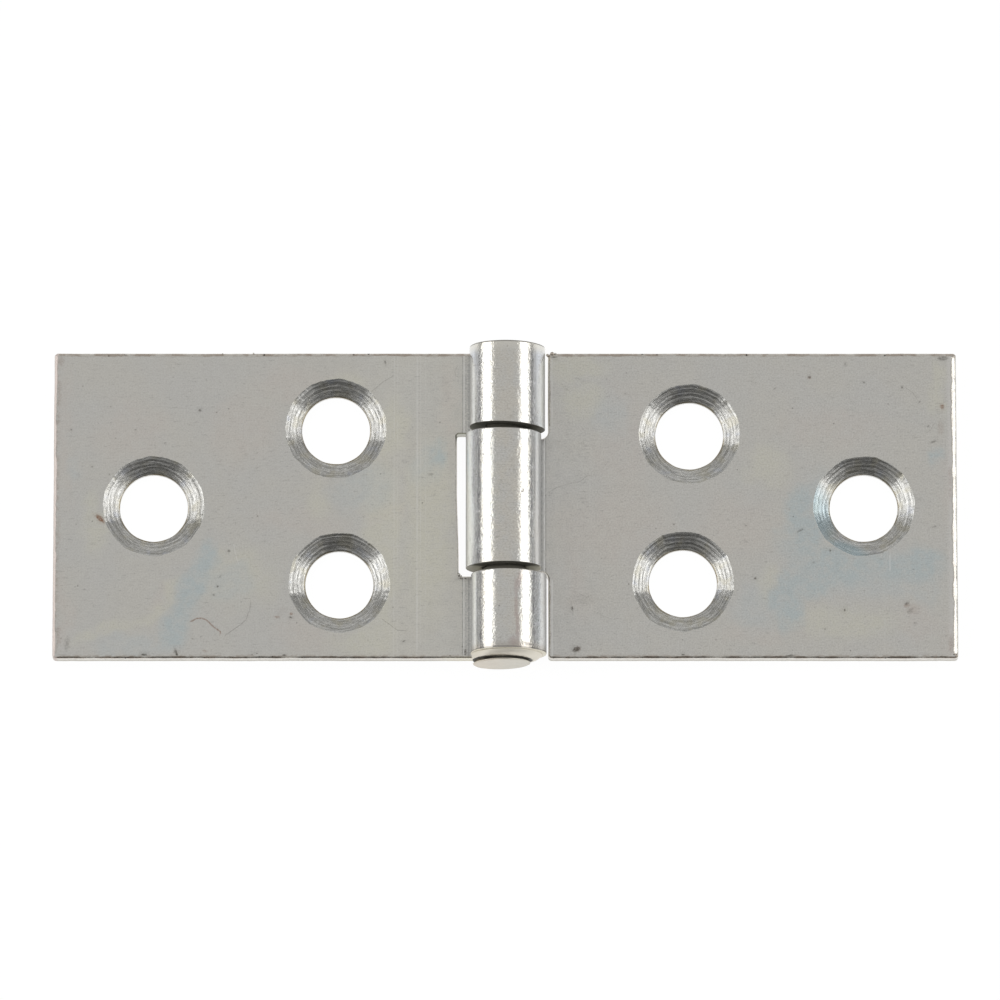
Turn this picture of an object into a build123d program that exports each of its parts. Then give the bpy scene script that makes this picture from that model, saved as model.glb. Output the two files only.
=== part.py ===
from build123d import *
import math
import os

# Back flap hinge in zinc plated steel sheet, lying open and flat on its back.
# Millimetres. X runs across the two leaves, Y along the pin and Z up, out of the
# countersunk faces. The origin is on the back plane, under the middle of the pin.

# Overall size
hinge_length = 25.0
leaf_reach = 36.5
sheet_thickness = 1.3

# Pin and rolled knuckles
pin_diameter = 3.1
pin_clearance = 0.2
knuckle_lean = 0.15
seam_gap = 0.08

# Split of the length between the three knuckles
middle_knuckle_length = 10.8
knuckle_gap = 0.58
middle_knuckle_shift = -0.05

# Notches in the leaves, beside the other leaf's knuckles
middle_notch_clearance = 0.7
middle_notch_corner = 0.3
corner_notch_clearance = 0.23
corner_notch_corner = 0.55

# Sheared outline of each leaf: its front edge is rolled over by the shears
leaf_corner_radius = 0.3
edge_roll_width = 0.2
edge_roll_depth = 0.12

# Screw holes, alike in all six places
screw_hole_diameter = 5.5
countersink_diameter = 8.15
countersink_depth = 0.95

# Places of the holes in the two-knuckle leaf: reach is from the pin axis, spacing along it
left_outer_hole_reach = 28.4
left_inner_hole_reach = 13.55
left_inner_hole_spacing = 12.7
left_inner_hole_skew = 0.3
left_inner_hole_drift = 0.05

# Places of the holes in the one-knuckle leaf
right_outer_hole_reach = 28.95
right_inner_hole_reach = 14.6
right_inner_hole_spacing = 12.15
right_inner_hole_skew = 0.55
right_inner_hole_drift = -0.12

# Upset ends of the pin
head_diameter = 4.6
head_thickness = 0.42
head_standoff = 0.4
head_offset = -0.3
head_edge_radius = 0.14
tail_length = 0.25
tail_chamfer = 0.12

# Sizes that follow from those above
pin_radius = pin_diameter / 2
bore_radius = pin_radius + pin_clearance
knuckle_radius = bore_radius + sheet_thickness
axis_height = knuckle_radius
knuckle_sweep = knuckle_radius + knuckle_lean
half_length = hinge_length / 2
tip_drop = knuckle_radius - sheet_thickness - seam_gap
tip_angle = math.degrees(math.asin(tip_drop / knuckle_radius))
tip_reach = math.sqrt(knuckle_radius**2 - tip_drop**2) - knuckle_lean
middle_knuckle_top = middle_knuckle_shift + middle_knuckle_length / 2
middle_knuckle_bottom = middle_knuckle_shift - middle_knuckle_length / 2


def knuckle_section():
    """Cross-section of the knuckle of a leaf that reaches towards +X.

    The sheet comes in along the back plane, curls round the bore and comes back down
    until its square-cut tip stands on the leaf's front face.
    """
    centre = (-knuckle_lean, axis_height)
    sweep = 270 + tip_angle
    with BuildSketch(Plane.XZ) as section:
        with BuildLine():
            Line((tip_reach, 0), (-knuckle_lean, 0))
            outside = CenterArc(centre, knuckle_radius, -90, -sweep)
            inside = CenterArc(centre, bore_radius, -90, -sweep)
            Line(outside @ 1, inside @ 1)
            Polyline(
                (-knuckle_lean, sheet_thickness),
                (tip_reach, sheet_thickness),
                (tip_reach, 0),
            )
        make_face()
    return section.sketch


def blank_outline():
    """Plan of the blank of a leaf towards +X, long enough to cover the knuckle."""
    with BuildSketch() as blank:
        with Locations((-knuckle_sweep, 0)):
            Rectangle(
                leaf_reach + knuckle_sweep,
                hinge_length,
                align=(Align.MIN, Align.CENTER),
            )
        fillet(blank.vertices().group_by(Axis.X)[-1], leaf_corner_radius)
    return blank.sketch


def corner_notches():
    """Plan of the two corner notches of the one-knuckle leaf, rounded inside."""
    notch_reach = knuckle_sweep + corner_notch_clearance
    with BuildSketch() as notches:
        with Locations((notch_reach, middle_knuckle_top)):
            Rectangle(3 * notch_reach, hinge_length, align=(Align.MAX, Align.MIN))
        with Locations((notch_reach, middle_knuckle_bottom)):
            Rectangle(3 * notch_reach, hinge_length, align=(Align.MAX, Align.MAX))
        inside_corners = notches.vertices().sort_by_distance((notch_reach, 0))[:2]
        fillet(inside_corners, corner_notch_corner)
    return notches.sketch


def middle_notch():
    """Plan of the notch between the knuckles of the two-knuckle leaf, rounded inside."""
    notch_reach = knuckle_sweep + middle_notch_clearance
    notch_length = middle_knuckle_length + 2 * knuckle_gap
    with BuildSketch() as notch:
        with Locations((notch_reach, middle_knuckle_shift)):
            Rectangle(3 * notch_reach, notch_length, align=(Align.MAX, Align.CENTER))
        fillet(notch.vertices().group_by(Axis.X)[-1], middle_notch_corner)
    return notch.sketch


def sheared_plate(outline):
    """Sheet of the given plan, rolled over along its front edge, up to the knuckle's tip."""
    wall = sheet_thickness - edge_roll_depth
    roll_angle = math.degrees(math.atan(edge_roll_width / edge_roll_depth))
    plate = extrude(outline, amount=wall)
    plate += extrude(Pos(0, 0, wall) * outline, amount=edge_roll_depth, taper=roll_angle)
    beside_knuckle = Pos(tip_reach, 0, 0) * Box(
        leaf_reach,
        hinge_length,
        sheet_thickness,
        align=(Align.MIN, Align.CENTER, Align.MIN),
    )
    return plate & beside_knuckle


def hole_centres(outer_reach, inner_reach, inner_spacing, skew, drift):
    """One hole near the leaf's end and two near the knuckle, as (reach, along pin)."""
    return [
        (outer_reach, 0),
        (inner_reach + skew / 2, drift + inner_spacing / 2),
        (inner_reach - skew / 2, drift - inner_spacing / 2),
    ]


def screw_hole():
    """Cutter for one countersunk hole: the cone goes on past the leaf's front face."""
    hole_radius = screw_hole_diameter / 2
    widening = (countersink_diameter - screw_hole_diameter) / 2
    through = Cylinder(hole_radius, 2 * sheet_thickness)
    cone = Cone(
        hole_radius,
        hole_radius + 2 * widening,
        2 * countersink_depth,
        align=(Align.CENTER, Align.CENTER, Align.CENTER),
    )
    return through + Pos(0, 0, sheet_thickness) * cone


def leaf_towards_x(notches, centres):
    """Leaf with its notches and screw holes cut, and its knuckle rolled."""
    outline = blank_outline() - notches
    knuckle = extrude(knuckle_section(), amount=half_length, dir=(0, 1, 0), both=True)
    knuckle -= extrude(notches, amount=2 * axis_height)
    leaf = sheared_plate(outline) + knuckle
    for reach, along in centres:
        leaf -= Pos(reach, along, 0) * screw_hole()
    return leaf


def one_knuckle_leaf():
    """Leaf towards +X, with the middle knuckle and a notch at each corner beside it."""
    return leaf_towards_x(
        corner_notches(),
        hole_centres(
            right_outer_hole_reach,
            right_inner_hole_reach,
            right_inner_hole_spacing,
            right_inner_hole_skew,
            right_inner_hole_drift,
        ),
    )


def two_knuckle_leaf():
    """Leaf towards -X, with a knuckle at each end and a notch between them."""
    leaf = leaf_towards_x(
        middle_notch(),
        hole_centres(
            left_outer_hole_reach,
            left_inner_hole_reach,
            left_inner_hole_spacing,
            left_inner_hole_skew,
            left_inner_hole_drift,
        ),
    )
    return mirror(leaf, about=Plane.YZ)


def round_bar(radius, low, high, offset=0):
    """Cylinder along the pin from low to high, its centre offset across the leaves."""
    plane = Plane(origin=(offset, low, axis_height), z_dir=(0, 1, 0))
    return extrude(plane * Circle(radius), amount=high - low)


def hinge_pin():
    """Wire pin with a mushroomed lower end and a lightly chamfered upper end."""
    head_top = -half_length - head_standoff
    shaft = round_bar(pin_radius, head_top, half_length + tail_length)
    shaft = chamfer(shaft.edges().group_by(Axis.Y)[-1], tail_chamfer)
    head = round_bar(head_diameter / 2, head_top - head_thickness, head_top, head_offset)
    head = fillet(head.edges().filter_by(GeomType.CIRCLE), head_edge_radius)
    return shaft + head


os.makedirs("parts", exist_ok=True)
export_step(two_knuckle_leaf(), "parts/two_knuckle_leaf.step")
export_step(one_knuckle_leaf(), "parts/one_knuckle_leaf.step")
export_step(hinge_pin(), "parts/hinge_pin.step")
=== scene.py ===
import math

import bpy
import numpy as np
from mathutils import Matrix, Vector, noise
from mathutils.geometry import delaunay_2d_cdt


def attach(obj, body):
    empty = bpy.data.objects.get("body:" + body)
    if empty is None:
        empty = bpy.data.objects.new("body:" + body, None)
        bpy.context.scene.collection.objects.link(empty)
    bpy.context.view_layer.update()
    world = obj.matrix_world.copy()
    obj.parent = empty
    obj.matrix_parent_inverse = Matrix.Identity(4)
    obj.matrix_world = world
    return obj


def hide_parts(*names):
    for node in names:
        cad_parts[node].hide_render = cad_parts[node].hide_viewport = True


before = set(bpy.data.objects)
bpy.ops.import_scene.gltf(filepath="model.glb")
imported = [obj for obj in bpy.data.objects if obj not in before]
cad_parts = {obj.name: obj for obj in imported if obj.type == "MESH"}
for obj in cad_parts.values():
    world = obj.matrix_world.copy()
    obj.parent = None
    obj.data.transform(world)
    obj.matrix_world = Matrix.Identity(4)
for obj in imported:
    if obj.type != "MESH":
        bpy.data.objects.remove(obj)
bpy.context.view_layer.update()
bpy.context.scene.view_settings.view_transform = "Standard"

# Sizes in millimetres, as in the part's own source; meshes are scaled to metres at the end
MILLIMETRES = 1000
THICKNESS = 1.3
KNUCKLE_RADIUS = 3.05
KNUCKLE_LEAN = 0.15
SEAM_GAP = 0.08
LEAF_REACH = 36.5
HALF_LENGTH = 12.5
MIDDLE_TOP = 5.35
MIDDLE_BOTTOM = -5.45
NOTCH_TOP = 5.93
NOTCH_BOTTOM = -6.03
MIDDLE_NOTCH_REACH = 3.9
CORNER_NOTCH_REACH = 3.43
HOLE_RADIUS = 2.75
SINK_RADIUS = 4.075
SINK_DEPTH = 0.95

# How the edges and sinks depart from a plain cut
CHATTER = 2.3
RAGGED, FRAY = 0.030, 0.024
UPPER_GAP = 5.6
EDGE_STEP = 0.16
TIP_CORNER = 0.1
LEAF_CORNER = 0.3

# Places along the flat blank: its tip inside the roll, its free end and half a turn of roll
TIP_ANGLE = 1.5 * math.pi + math.asin((KNUCKLE_RADIUS - THICKNESS - SEAM_GAP) / KNUCKLE_RADIUS)
S_TIP = -KNUCKLE_RADIUS * TIP_ANGLE
S_END = LEAF_REACH + KNUCKLE_LEAN
HALF_TURN = math.pi * KNUCKLE_RADIUS

# Material slots of a leaf
FRONT, BACK, BARREL, EDGE, SINK, BORE, GAP = range(7)

# Edge profile: inset from the outline, share of the roll's width and height
PROFILE = (
    (0.16, 0.0, 0.0), (0.035, 0.0, 0.0), (0.010, 0.0, 0.010), (0.0, 0.0, 0.035), (0.0, 0.0, 0.3),
    (0.0, 0.0, 0.6), (0.0, 0.0, 0.9), (0.0, 0.02, 1.13), (0.0, 0.08, 1.175), (0.0, 0.20, 1.205),
    (0.0, 0.55, 1.250), (0.0, 0.88, 1.290), (0.0, 1.0, 1.298), (0.0, 1.15, 1.3), (0.0, 1.40, 1.3),
)


def smooth(value):
    """Rises from 0 to 1 with level ends."""
    value = np.clip(value, 0, 1)
    return value * value * (3 - 2 * value)


def bend(s, y, n):
    """Places points of the flat blank (s from the knuckle's root, y along the pin, n up from
    the back) on the rolled leaf that reaches towards +X."""
    angle = np.maximum(-s / KNUCKLE_RADIUS, 0.0)
    radius = KNUCKLE_RADIUS - n
    crest = smooth((math.pi / 2 - np.abs(angle - math.pi)) / 0.85)
    x = np.where(s >= 0, s, -radius * np.sin(angle)) - KNUCKLE_LEAN * (1 - crest)
    y = y + smooth((y - 11.0) / 1.5) * (0.13 + 0.09 * smooth(-s / 2.0))
    z = np.where(s >= 0, n, KNUCKLE_RADIUS - radius * np.cos(angle))
    return np.stack([x, y, z], 1)


def rounded_path(corners):
    """Closed path through (s, y, radius) corners, rounded and evenly sampled."""
    points = []
    for i, (s, y, radius) in enumerate(corners):
        here = np.array([s, y])
        before = np.array(corners[i - 1][:2])
        *after, next_radius = corners[(i + 1) % len(corners)]
        into = (here - before) / np.linalg.norm(here - before)
        out = (after - here) / np.linalg.norm(after - here)
        start = here - into * radius
        turning = np.sign(into[0] * out[1] - into[1] * out[0])
        centre = start + radius * np.array([-into[1], into[0]]) * turning
        steps = max(3, int(radius * 1.57 / 0.06))
        a = start - centre
        b = here + out * radius - centre
        for k in range(steps + 1):
            t = k / steps * math.pi / 2
            points.append(centre + a * math.cos(t) + b * math.sin(t))
        end = points[-1]
        goal = after - out * next_radius
        inner = max(1, int(round(np.linalg.norm(goal - end) / EDGE_STEP)))
        for k in range(1, inner):
            points.append(end + (goal - end) * k / inner)
    return np.array(points)


def inward(path):
    """Unit normals that point into the material, for a path with it on the left."""
    along = np.roll(path, -1, 0) - np.roll(path, 1, 0)
    along /= np.linalg.norm(along, axis=1)[:, None]
    return np.stack([-along[:, 1], along[:, 0]], 1)


def wobble(points, scale, seed):
    """Smooth noise from -1 to 1 at points given in millimetres."""
    return np.array([noise.noise(Vector((p[0] / scale, p[1] / scale, seed))) for p in points])


def inside(points, path):
    """Which points lie within the closed path."""
    hit = np.zeros(len(points), bool)
    for a, b in zip(path, np.roll(path, -1, 0)):
        crosses = (a[1] > points[:, 1]) != (b[1] > points[:, 1])
        if crosses.any():
            at = a[0] + (points[:, 1] - a[1]) / (b[1] - a[1] + 1e-15) * (b[0] - a[0])
            hit ^= crosses & (points[:, 0] < at)
    return hit


def grid(low_s, high_s, step_s, step_y):
    """Even points over the whole length of the leaf between two reaches."""
    s = np.linspace(low_s, high_s, max(2, int(round((high_s - low_s) / step_s)) + 1))
    y = np.linspace(-HALF_LENGTH, HALF_LENGTH, int(round(2 * HALF_LENGTH / step_y)) + 1)
    gs, gy = np.meshgrid(s, y)
    return np.stack([gs.ravel(), gy.ravel()], 1)


def away_from(points, path, gap):
    """Drops points closer than gap to the path."""
    keep = np.ones(len(points), bool)
    for block in range(0, len(points), 2000):
        d = points[block : block + 2000, None, :] - path[None, :, :]
        keep[block : block + 2000] = (d**2).sum(2).min(1) > gap**2
    return points[keep]


def link(name, data):
    """Adds an object to the scene."""
    made = bpy.data.objects.new(name, data)
    bpy.context.scene.collection.objects.link(made)
    return made


def smooth_mesh(name, points, faces):
    """Smoothly shaded mesh of points given in millimetres."""
    mesh = bpy.data.meshes.new(name)
    faces = [tuple(int(i) for i in face) for face in faces]
    mesh.from_pydata((points / MILLIMETRES).tolist(), [], faces)
    mesh.polygons.foreach_set("use_smooth", np.ones(len(faces), bool))
    return mesh


class Shell:
    """Collects the points and faces of one leaf."""

    def __init__(self):
        self.points, self.sheet, self.cut, self.faces, self.slots = [], [], [], [], []

    def add(self, s, y, n, cut=None):
        """Adds points of the flat blank and returns their numbers."""
        first = len(self.points)
        s, y, n = np.broadcast_arrays(*(np.asarray(v, float) for v in (s, y, n)))
        self.points.extend(bend(s, y, n))
        self.sheet.extend(np.stack([s, y, n], 1))
        self.cut.extend(np.zeros((len(s), 3)) if cut is None else cut)
        return np.arange(first, first + len(s))

    def plan(self, ring):
        """The ring's (s, y) on the flat blank."""
        return np.array([self.sheet[i][:2] for i in ring])

    def band(self, low, high, slots):
        """Quads between two closed rings of the same count."""
        self.faces.extend(zip(low, np.roll(low, -1), np.roll(high, -1), high))
        self.slots.extend(np.broadcast_to(slots, len(low)))

    def fill(self, loops, extra, n, slots, upward):
        """Triangles between the loops at height n, with extra points inside. The first slot
        is for the flat leaf and the second for the knuckle."""
        index = [i for loop in loops for i in loop]
        plan = self.plan(index)
        index += list(self.add(extra[:, 0], extra[:, 1], n))
        rings, edges, at = [], [], 0
        for loop in loops:
            edges += [(at + i, at + (i + 1) % len(loop)) for i in range(len(loop))]
            rings.append(plan[at : at + len(loop)])
            at += len(loop)
        flat = [Vector(p) for p in np.vstack([plan, extra])]
        made = delaunay_2d_cdt(flat, edges, [], 0, 1e-7)
        spots = np.array([p[:] for p in made[0]])
        place = []
        for spot, origins in zip(spots, made[3]):
            if not origins:
                index += list(self.add(spot[:1], spot[1:], n))
                origins = [len(index) - 1]
            place.append(origins[0])
        triangles = np.array(made[2])
        middles = spots[triangles].mean(1)
        keep = inside(middles, rings[0])
        for ring in rings[1:]:
            keep &= ~inside(middles, ring)
        for t, m in zip(triangles[keep], middles[keep]):
            a, b, c = (index[place[i]] for i in t)
            self.faces.append((a, b, c) if upward else (a, c, b))
            self.slots.append(slots[0] if m[0] > 0 else slots[1])


def sink_rings(shell, centre, seed, sides):
    """The countersink, its chatter and the hole's wall. Returns the front and back rings."""
    turn = np.linspace(0, 2 * math.pi, 288, endpoint=False)
    circle = np.stack([np.cos(turn), np.sin(turn)], 1)
    phase = noise.random() * 2 * math.pi
    side = 2 * math.pi / sides
    uneven = wobble(circle * 1.7, 1.0, seed + 0.3)
    facet = (turn + phase + 0.10 * uneven) % side - side / 2
    polygon = 1 / np.cos(facet * 0.92) - 1 / math.cos(side / 4)
    rough = RAGGED * wobble(circle * SINK_RADIUS, 0.34, seed + 7.7)
    frayed = FRAY * wobble(circle * SINK_RADIUS, 0.13, seed + 3.1)
    polygon = polygon * (0.62 + 0.38 * wobble(circle, 0.8, seed + 5.5))

    def ring(radius, n, q=None):
        s, y = (np.array([centre]) + (KNUCKLE_LEAN, 0) + circle * np.reshape(radius, (-1, 1))).T
        cut = None if q is None else np.column_stack([circle, np.full(len(turn), q) + seed])
        return shell.add(s, y, n, cut)

    rim = SINK_RADIUS + CHATTER * polygon + rough + frayed
    front = ring(rim + 0.05, THICKNESS)
    previous = ring(rim + 0.012, THICKNESS)
    shell.band(front, previous, FRONT)
    rings = 30
    for k in range(rings + 1):
        q = 1 - k / rings
        spiral = 0.5 * math.sin(2 * math.pi * (1 - q) * 3.6 + seed)
        shift = CHATTER * np.interp(
            (turn + 0.10 * (1 - q) * spiral) % (2 * math.pi),
            np.append(turn, 2 * math.pi),
            np.append(polygon, polygon[0]),
        )
        groove = math.sin(2 * math.pi * (q * 4.4 + 0.31 * seed))
        fine = math.sin(2 * math.pi * (q * 11.3 + 0.17 * seed))
        depth = 0.012 * groove + 0.004 * fine
        depth = depth * (0.6 + 0.6 * wobble(circle * 2.2, 1.0, seed + 11 + 1.5 * q))
        fade = min(1.0, 8 * q, 8 * (1 - q) + 0.15)
        radius = HOLE_RADIUS + q * (SINK_RADIUS - HOLE_RADIUS)
        radius = radius + shift * (0.25 + 0.75 * q) + (rough + frayed) * q**3
        height = THICKNESS - SINK_DEPTH * (1 - q) + depth * fade
        if k == 0:
            height = height * 0 + THICKNESS - 0.01
        here = ring(radius, np.clip(height, 0.32, THICKNESS), q)
        shell.band(previous, here, SINK)
        previous = here
    for widening, n in ((0, 0.318), (0, 0.2), (0, 0.05), (0.012, 0.012), (0.04, 0.0), (0.12, 0.0)):
        here = ring(HOLE_RADIUS + widening, n)
        shell.band(previous, here, BORE if widening < 0.12 else BACK)
        previous = here
    return front, previous


# Stains on the front faces in millimetres: x, y, half width, half height and, where the
# ellipse is turned, its turn in degrees
STAINS = {
    -1: (
        # Blue
        [
            (-24.3, -4.6, 0.9, 1.6, -26), (-25.0, -6.4, 1.1, 1.6, -24),
            (-25.8, -8.3, 1.2, 1.6, -26), (-26.8, -10.1, 1.3, 1.6, -35), (-5.6, 4.2, 0.5, 1.0),
        ],
        # Pale blue
        [
            (-11.6, 1.6, 2.0, 2.1), (-30.6, -11.5, 2.9, 0.8, -6), (-6.4, 3.6, 1.0, 1.8),
            (-27.6, -11.3, 1.2, 0.8), (-22.0, -6.2, 1.7, 1.5), (-34.9, 3.0, 0.5, 1.2),
        ],
        # Olive
        [
            (-10.0, -4.0, 1.4, 7.6), (-14.8, 0.4, 1.1, 1.6), (-33.0, -1.4, 0.9, 2.6),
            (-6.2, -2.0, 1.8, 6.6), (-21.4, -5.6, 2.6, 2.2), (-11.6, -11.2, 2.3, 1.2),
            (-26.9, -7.0, 0.5, 1.5, -32), (-28.9, -8.9, 0.5, 1.7, -62),
            (-31.8, -9.9, 1.8, 0.5, 16), (-34.2, -10.7, 0.9, 0.5, 30), (-13.0, 9.9, 1.8, 0.9),
            (-9.2, 6.4, 0.9, 2.2),
        ],
        # Pink
        [
            (-17.3, 10.0, 2.6, 1.4), (-16.6, -1.4, 3.4, 1.0, -6), (-28.0, -7.6, 0.4, 1.4, -40),
            (-35.5, -8.6, 0.6, 2.8), (-21.0, 6.2, 2.8, 2.6), (-4.7, 8.4, 0.7, 3.4),
            (-15.8, -10.4, 2.4, 1.6), (-10.2, -0.6, 1.6, 0.8), (-30.4, 6.0, 3.0, 2.4),
            (-35.6, 6.0, 0.6, 5.4),
        ],
    ),
    1: (
        [
            (23.5, -0.6, 1.2, 2.7, -15), (24.2, -2.4, 1.4, 1.8), (26.6, -5.0, 3.0, 1.6),
            (32.2, -4.8, 3.2, 1.2), (22.7, -8.0, 1.0, 2.4), (24.6, -6.6, 1.5, 1.0),
            (34.5, 3.9, 0.5, 0.6),
        ],
        [
            (25.6, 0.8, 1.6, 2.0), (29.6, -6.6, 4.6, 1.1), (20.0, -8.2, 1.6, 2.2),
            (8.4, 7.4, 1.6, 1.6), (34.0, -7.0, 1.4, 1.4),
        ],
        [
            (5.6, 11.4, 3.0, 0.9), (6.4, 8.6, 1.6, 1.4), (21.2, -6.4, 0.8, 1.8),
            (21.0, 3.4, 1.6, 1.6), (27.4, -9.6, 4.2, 1.2), (35.0, 10.0, 0.6, 2.2),
        ],
        [
            (9.6, 5.0, 2.4, 4.4), (9.0, -1.8, 4.6, 3.0), (26.4, 6.6, 4.6, 1.6),
            (18.4, -1.6, 3.0, 2.6), (35.8, -10.6, 0.5, 1.8), (35.6, 1.6, 0.5, 3.4),
            (20.6, -10.6, 3.6, 0.6), (33.4, -9.4, 1.6, 1.4), (5.6, -6.0, 1.0, 3.4),
        ],
    ),
}

# Small marks: x, y, half width, half height, strength and, where turned, degrees
DIRT_MARKS = {
    -1: [
        (-24.7, 7.9, 0.12, 0.10, 1.0, 30), (-35.1, 6.3, 0.07, 0.06, 0.8),
        (-9.72, 11.8, 0.06, 0.13, 1.0, 12), (-31.9, 8.2, 0.07, 0.06, 0.5),
        (-29.9, 6.3, 0.08, 0.06, 0.5), (-26.5, -12.05, 0.09, 0.32, 1.2, 18),
        (-23.2, -6.6, 0.09, 0.08, 0.9), (-22.3, -3.7, 0.12, 0.09, 0.9),
        (-27.5, 5.2, 0.10, 0.05, 0.6, 20), (-33.4, 3.25, 0.09, 0.07, 0.7),
        (-32.0, 2.6, 0.07, 0.06, 0.6), (-9.2, 2.6, 0.06, 0.06, 0.4),
        (-23.5, -7.3, 0.10, 0.07, 0.9), (-23.0, -5.8, 0.16, 0.06, 0.5, 50),
        (-31.5, 5.6, 0.06, 0.06, 0.5), (-34.2, 9.9, 0.08, 0.06, 0.5),
        (-29.1, -12.2, 0.25, 0.08, 1.2), (-30.4, 3.2, 0.06, 0.05, 0.5),
        (-17.8, -12.25, 0.14, 0.06, 1.2), (-35.3, -11.3, 0.16, 0.60, 0.40, -8),
        (-3.25, -12.0, 0.12, 0.26, 1.0), (-17.3, -9.15, 0.15, 0.08, 0.9),
        (-14.6, 11.4, 0.06, 0.06, 0.4), (-6.0, 2.6, 0.22, 0.09, 0.55, 8),
        (-8.2, -11.1, 0.18, 0.06, 0.8, 30), (-20.0, -12.1, 0.06, 0.05, 0.9),
        (-20.4, -12.2, 0.06, 0.05, 0.9), (-5.3, 6.9, 0.06, 0.05, 0.8),
        (-5.0, 10.3, 0.5, 0.5, 0.12), (-9.3, 0.2, 0.06, 0.06, 0.5),
        (-25.2, -10.9, 0.08, 0.06, 0.6), (-24.5, -10.7, 0.12, 0.05, 0.5, 30),
        (-10.9, 4.6, 0.05, 0.05, 0.4), (-3.46, -5.94, 0.32, 0.075, 1.5),
        (-27.1, 8.8, 0.10, 0.05, 0.4), (-32.9, 6.8, 0.05, 0.05, 0.4),
        (-14.2, -0.2, 0.06, 0.06, 0.4),
    ],
    1: [
        (20.15, -5.95, 0.11, 0.09, 1.0), (5.38, -8.42, 0.08, 0.18, 1.0),
        (5.72, -11.75, 0.30, 0.18, 1.4, 22), (24.6, 10.64, 0.12, 0.11, 0.8),
        (27.5, 11.65, 0.10, 0.07, 0.7), (29.0, 10.2, 0.08, 0.07, 0.9),
        (32.1, 9.8, 0.10, 0.08, 0.9), (33.5, 8.6, 0.12, 0.07, 0.6, 40),
        (34.2, 6.6, 0.12, 0.06, 0.6, 50), (34.6, 5.3, 0.26, 0.06, 0.8, 24),
        (9.7, 9.3, 0.06, 0.05, 0.5), (21.8, 9.7, 0.16, 0.05, 0.5, 50),
        (9.8, 11.0, 0.06, 0.05, 0.6), (24.85, -4.65, 0.12, 0.07, 0.5),
        (26.2, -3.65, 0.09, 0.09, 0.9), (23.8, -2.0, 0.30, 0.07, 0.8, 28),
        (27.35, -8.55, 0.08, 0.12, 0.9, 10), (25.75, -10.1, 0.06, 0.06, 0.8),
        (32.35, -8.0, 0.18, 0.12, 0.8, 20), (32.6, -8.6, 0.30, 0.16, 0.4, 40),
        (13.6, -1.5, 0.06, 0.06, 0.8), (6.1, -7.7, 1.3, 0.45, 0.16, -4),
        (6.5, 4.95, 0.14, 0.05, 0.5, 20), (21.0, -4.6, 0.06, 0.05, 0.5),
        (14.3, -12.2, 0.12, 0.06, 1.2), (10.6, -8.4, 0.06, 0.06, 0.5),
        (34.6, -1.7, 0.20, 0.05, 0.6, 20), (22.9, -12.3, 0.30, 0.06, 1.2),
        (35.4, 12.1, 0.40, 0.16, 0.8), (3.9, 12.2, 0.26, 0.12, 0.9), (8.1, 3.4, 0.05, 0.05, 0.4),
        (33.0, -9.6, 0.12, 0.06, 0.5), (32.9, -5.2, 0.16, 0.04, 0.4), (11.6, 3.4, 0.06, 0.05, 0.4),
        (19.4, -1.6, 0.08, 0.05, 0.6), (5.0, 9.6, 0.06, 0.05, 0.5),
    ],
}
RUST_MARKS = {
    -1: [
        (-32.72, -1.03, 0.46, 0.16, 1.3, -42), (-18.4, -9.1, 0.22, 0.08, 0.7),
        (-17.25, -8.85, 0.12, 0.10, 0.8), (-35.95, 11.9, 0.25, 0.40, 0.30),
        (-36.1, 9.4, 0.10, 1.3, 0.25), (-36.1, -2.0, 0.08, 1.6, 0.2),
        (-36.0, -10.6, 0.12, 1.0, 0.35), (-24.2, -11.9, 0.22, 0.10, 0.4, -20),
        (-18.0, -8.6, 0.5, 0.4, 0.12),
    ],
    1: [
        (35.33, 8.2, 0.16, 0.18, 1.0), (32.35, -8.15, 0.25, 0.16, 0.5, 20),
        (35.9, -11.4, 0.20, 0.8, 0.4), (5.80, -11.72, 0.30, 0.20, 0.4, 22),
        (24.6, 10.6, 0.14, 0.13, 0.5), (32.9, -8.5, 0.6, 0.5, 0.2), (35.2, 6.4, 0.25, 0.6, 0.25),
        (35.9, 2.0, 0.12, 1.6, 0.3),
    ],
}
# Hairlines: half width, strength, then the points that they pass
DARK_HAIRS = {
    -1: [
        (0.040, 0.5, (-20.52, -7.97), (-20.6, -8.5), (-20.9, -9.35), (-21.4, -9.8),
         (-22.64, -10.65)),
        (0.035, 0.5, (-10.75, 9.5), (-9.9, 10.25), (-9.1, 10.72)),
        (0.035, 0.5, (-9.9, -9.3), (-9.3, -9.75), (-8.7, -10.2), (-7.9, -10.25)),
        (0.035, 0.35, (-3.9, 11.5), (-4.1, 11.1), (-4.0, 10.75), (-3.75, 10.6)),
        (0.030, 0.25, (-12.0, 5.6), (-11.2, 5.9), (-10.3, 5.8)),
    ],
    1: [
        (0.040, 0.35, (3.6, 1.19), (4.2, 1.55), (5.2, 1.85), (6.0, 2.0), (6.6, 2.5), (7.3, 2.6)),
        (0.035, 0.35, (6.0, -7.2), (6.5, -7.5), (7.0, -7.3)),
        (0.035, 0.35, (32.5, 9.7), (33.0, 9.3), (33.45, 8.6)),
        (0.030, 0.30, (7.6, -8.9), (8.6, -9.3), (9.4, -9.2)),
        (0.035, 0.35, (34.0, 6.0), (34.4, 6.3), (34.7, 6.9)),
        (0.030, 0.25, (27.0, 5.6), (27.9, 5.4), (28.4, 6.0)),
        (0.030, 0.25, (5.6, 5.0), (6.3, 5.3), (6.4, 4.7), (5.8, 4.5)),
    ],
}
RUST_HAIRS = {
    -1: [
        (0.060, 0.9, (-25.27, -9.43), (-24.9, -9.25), (-24.46, -9.20), (-24.08, -9.36),
         (-23.5, -9.93), (-22.96, -10.31), (-22.93, -10.55)),
    ],
    1: [],
}
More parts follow.
